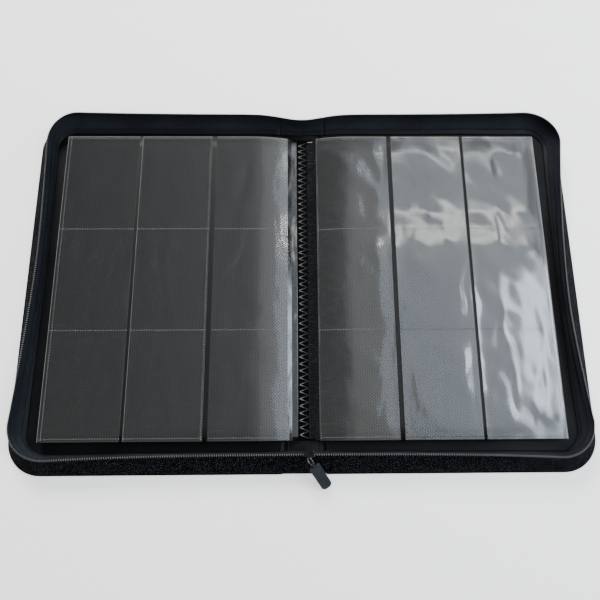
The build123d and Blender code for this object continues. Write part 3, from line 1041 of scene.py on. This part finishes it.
def make_welds(side_name, label, x_from, x_to, material):
    """Dotted welds of the top leaf: front, back, two row lines and three lines along it."""
    side = SIDES[side_name]
    z = FILM_HIGH.z + 0.03 * MM
    edge = 2.3 * MM
    rows_y = [LEAF_LOW.y + edge, LEAF_LOW.y + ROW, LEAF_LOW.y + 2 * ROW, LEAF_HIGH.y - edge]
    columns_x = [LEAF_LOW.x + 0.9 * MM, FIRST_GAP + 3.4 * MM, LEAF_HIGH.x - 3.0 * MM]
    across = Matrix.Diagonal((0.42 * MM, 0.62 * MM, 0.22 * MM, 1))
    along = Matrix.Diagonal((0.62 * MM, 0.42 * MM, 0.22 * MM, 1))
    places = []
    for y in rows_y:
        for number in range(int(LEAF_WIDTH / WELD_PITCH)):
            x = side * (LEAF_LOW.x + WELD_PITCH * (number + 0.7))
            off_first = abs(abs(x) - LEAF_LOW.x - COLUMN) > 2 * MM
            if off_first and abs(abs(x) - LEAF_LOW.x - 2 * COLUMN) > 1.2 * MM:
                places.append(Matrix.Translation((x, y, z - curl(x))) @ across)
    for x in columns_x:
        for number in range(int(LEAF_LENGTH / WELD_PITCH)):
            y = LEAF_LOW.y + WELD_PITCH * (number + 0.7)
            places.append(Matrix.Translation((side * x, y, z - curl(x))) @ along)
    kept = [place for place in places if x_from < abs(place.translation.x) <= x_to]
    name = f"{side_name}_leaf_01_{label}_weld_marks"
    welds = finished(name, scattered(weld, kept), material)
    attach(welds, f"{side_name}_leaf_01")


def make_edge_bands(side_name, material):
    """The flattened film edge at the leaf's outer side and beside each column gap."""
    side = SIDES[side_name]
    z0 = FILM_LOW.z
    z1 = FILM_LOW.z + 0.12 * MM
    border = 0.35 * MM if side < 0 else 0.8 * MM
    runs = [
        (LEAF_HIGH.x - border, LEAF_HIGH.x),
        (FIRST_GAP + FILM_INSETS[1], FIRST_GAP + 2.35 * MM),
        (SECOND_GAP - 1.65 * MM, SECOND_GAP - FILM_INSETS[2]),
    ]
    bm = bmesh.new()
    for run in runs:
        x0, x1 = sorted(side * x for x in run)
        box_mesh(bm, (x0, LEAF_LOW.y, z0), (x1, LEAF_HIGH.y, z1))
    bands = finished(f"{side_name}_leaf_01_film_border", bm, material, smooth=False)
    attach(bands, f"{side_name}_leaf_01")


def leaf_node(label):
    """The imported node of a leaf's sheet; the top leaf's is its backing, between its films."""
    return f"{label}_backing" if label.endswith("_01") else label


def make_leaf_sheet(side_name, number, material):
    """A leaf's own sheet, flat over its pockets and curving down at the gutter."""
    side = SIDES[side_name]
    label = f"{side_name}_leaf_{number:02d}"
    node = leaf_node(label)
    low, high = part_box(node)
    bm = bmesh.new()
    bmesh.ops.create_grid(bm, x_segments=60, y_segments=24, size=0.5)
    for v in bm.verts:
        share = (v.co.x + 0.5) ** 1.6
        x = side * (LEAF_LOW.x + share * LEAF_WIDTH)
        y = LEAF_LOW.y + (v.co.y + 0.5) * LEAF_LENGTH
        v.co = Vector((x, y, high.z - curl(x, number)))
    if side < 0:
        bmesh.ops.reverse_faces(bm, faces=bm.faces[:])
    sheet = finished(f"{label}_sheet", bm, material)
    solid = sheet.modifiers.new("sheet", "SOLIDIFY")
    solid.thickness = high.z - low.z if number == 1 else LOWER_LEAF_THICK
    solid.offset = -1
    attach(sheet, label)
    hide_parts(node)
def gutter_curve(x):
    """Top of the bound margins: full height at the leaves, curving down to the strip."""
    share = max(0.0, min(1.0, (x - BUNDLE_START) / (13.4 * MM - BUNDLE_START)))
    return 4.7 * MM + 1.7 * MM * share


def margin_buckle(side, x, y):
    slow = noise.noise(Vector((x * 110, y * 45, 11 * side)))
    fine = noise.noise(Vector((x * 200, y * 210, side)))
    return 0.22 * MM * slow + 0.1 * MM * fine


def make_margin_bundle(side_name, material):
    """The leaves' bound margins, sewn together at the strip."""
    side = SIDES[side_name]
    bm = bmesh.new()
    x0, x1 = sorted((side * BUNDLE_START, side * BUNDLE_END))
    box_mesh(bm, (x0, LEAF_LOW.y, BUNDLE_LOW_Z), (x1, LEAF_HIGH.y, BUNDLE_LOW_Z + 1 * MM))
    across = [e for e in bm.edges if abs(e.verts[0].co.x - e.verts[1].co.x) > 1 * MM]
    bmesh.ops.subdivide_edges(bm, edges=across, cuts=10)
    bmesh.ops.subdivide_edges(bm, edges=lengthwise(bm), cuts=90)
    for v in bm.verts:
        if v.co.z > BUNDLE_LOW_Z + 0.5 * MM:
            top = gutter_curve(abs(v.co.x)) - 0.1 * MM
            v.co.z = top + margin_buckle(side, v.co.x, v.co.y)
    bundle = finished(f"{side_name}_margin_bundle", bm, material)
    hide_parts(f"{side_name}_page_margins")
    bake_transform(bundle)


def make_leaf_margin(side_name, number, material):
    """One leaf's short margin sheet, from the bundle up to the leaf."""
    side = SIDES[side_name]
    label = f"{side_name}_leaf_{number:02d}"
    node = leaf_node(label)
    leaf_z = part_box(node)[1].z - 0.1 * MM - curl(LEAF_LOW.x, number)
    pile = gutter_curve(BUNDLE_END) - BUNDLE_LOW_Z - 0.25 * MM
    foot_z = BUNDLE_LOW_Z + 0.15 * MM + pile * (LEAVES - number) / (LEAVES - 1)
    x0, x1 = BUNDLE_END - 0.5 * MM, LEAF_LOW.x + 0.25 * MM
    bm = bmesh.new()
    bmesh.ops.create_grid(bm, x_segments=8, y_segments=90, size=0.5)
    for v in bm.verts:
        share = v.co.x + 0.5
        y = LEAF_LOW.y + (v.co.y + 0.5) * LEAF_LENGTH
        x = side * (x0 + share * (x1 - x0))
        z = foot_z + (leaf_z - foot_z) * share
        v.co = Vector((x, y, z + margin_buckle(side, x, y) * (1 - share) * 0.6))
    if side < 0:
        bmesh.ops.reverse_faces(bm, faces=bm.faces[:])
    sheet = finished(f"{label}_margin", bm, material)
    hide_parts(f"{side_name}_page_margins")
    if side < 0:
        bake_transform(sheet)
    else:
        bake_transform(sheet)


# ---------------------------------------------------------------- build

def paint(node, material):
    """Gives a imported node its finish."""
    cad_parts[node].material_slots[0].material = material


def case_finishes():
    """The cloths, films, threads, enamels and rubber, by piece."""
    deep = 0.05 * MM
    return {
        "outer": cloth_material("outer_cloth", (0.0004, 0.0004, 0.0006), (0.20, 0.225, 0.27),
                                7400.0, 0.5, 0.10 * MM, 0.1),
        "tape": cloth_material("zipper_tape_weave", (0.0110, 0.0130, 0.0168),
                               (0.060, 0.070, 0.085), 8600.0, 0.40, deep, 0.1),
        "strip": cloth_material("gutter_strip_weave", (0.0012, 0.0012, 0.0014),
                                (0.02, 0.02, 0.022), 8000.0, 0.25, deep, 0.1),
        "lining": lining_material("smooth_lining", (0.0022, 0.0025, 0.0033), 0.46),
        "wall_lining": lining_material("wall_strip_lining", (0.0050, 0.0058, 0.0075), 0.48),
        "coil": material_coil(),
        # Both threads carry painted light: paler towards -X, painted shade towards +X.
        "thread": material_thread("pale_thread", (0.012, 0.012, 0.013), (0.50, 0.50, 0.51),
                                  0.6 * MM),
        "dark_thread": material_thread("dark_thread", (0.003, 0.003, 0.0035),
                                       (0.03, 0.03, 0.033), BASE_X),
        "margin": material_margin(),
        "enamel": material_enamel("black_enamel", (0.004, 0.004, 0.0045), (0.25, 0.25, 0.26), 0.70),
        "link": material_enamel("rubbed_link_enamel", (0.05, 0.05, 0.055), (0.55, 0.55, 0.56), 0.5),
        "rubber": material_rubber(),
        "film": material_film("clear_pocket_film", 0.12),
        "weld": material_weld("weld_mark_film", (0.12, 0.122, 0.125), (0.28, 0.285, 0.29)),
        # A darker copy of the weld colour: painted shade for the right page's outer welds, where
        # the films glare.
        "dark_weld": material_weld("weld_mark_film_painted_dark", (0.010, 0.010, 0.012),
                                   (0.030, 0.031, 0.034)),
        "lower": material_leaf_edge(),
        "left_backing": material_backing("page_twill_left", 1.0),
        "right_backing": material_backing("page_twill_right", -1.0),
    }


def main():
    set_camera()
    set_stage()
    m = case_finishes()
    make_spine(m)
    make_binding(m)
    # The right page's outer welds take the darker copy of the weld colour, as painted shade under
    # the glare.
    outer_welds = {"left": m["weld"], "right": m["dark_weld"]}
    for side_name in SIDES:
        make_cover(side_name, m)
        make_end(side_name, True, m)
        make_end(side_name, False, m)
        make_margin_bundle(side_name, m["margin"])
        for number in range(1, LEAVES + 1):
            make_leaf_margin(side_name, number, m["margin"])
        make_welds(side_name, "inner", 0, FIRST_GAP, m["weld"])
        make_welds(side_name, "outer", FIRST_GAP, LEAF_HIGH.x, outer_welds[side_name])
        make_edge_bands(side_name, m["weld"])
        for column in range(COLUMNS):
            make_film(side_name, column, True, m["film"])
            make_film(side_name, column, False, m["film"])
        make_leaf_sheet(side_name, 1, m[f"{side_name}_backing"])
        for number in range(2, LEAVES + 1):
            make_leaf_sheet(side_name, number, m["lower"])
        paint(f"{side_name}_page_flange", m["strip"])
        paint(f"{side_name}_cover_board", m["strip"])
    paint("spine_board", m["strip"])
    paint("slider_body", m["enamel"])
    paint("zip_end_stop", m["enamel"])
    paint("pull_link", m["link"])
    paint("pull_tab", m["rubber"])


main()
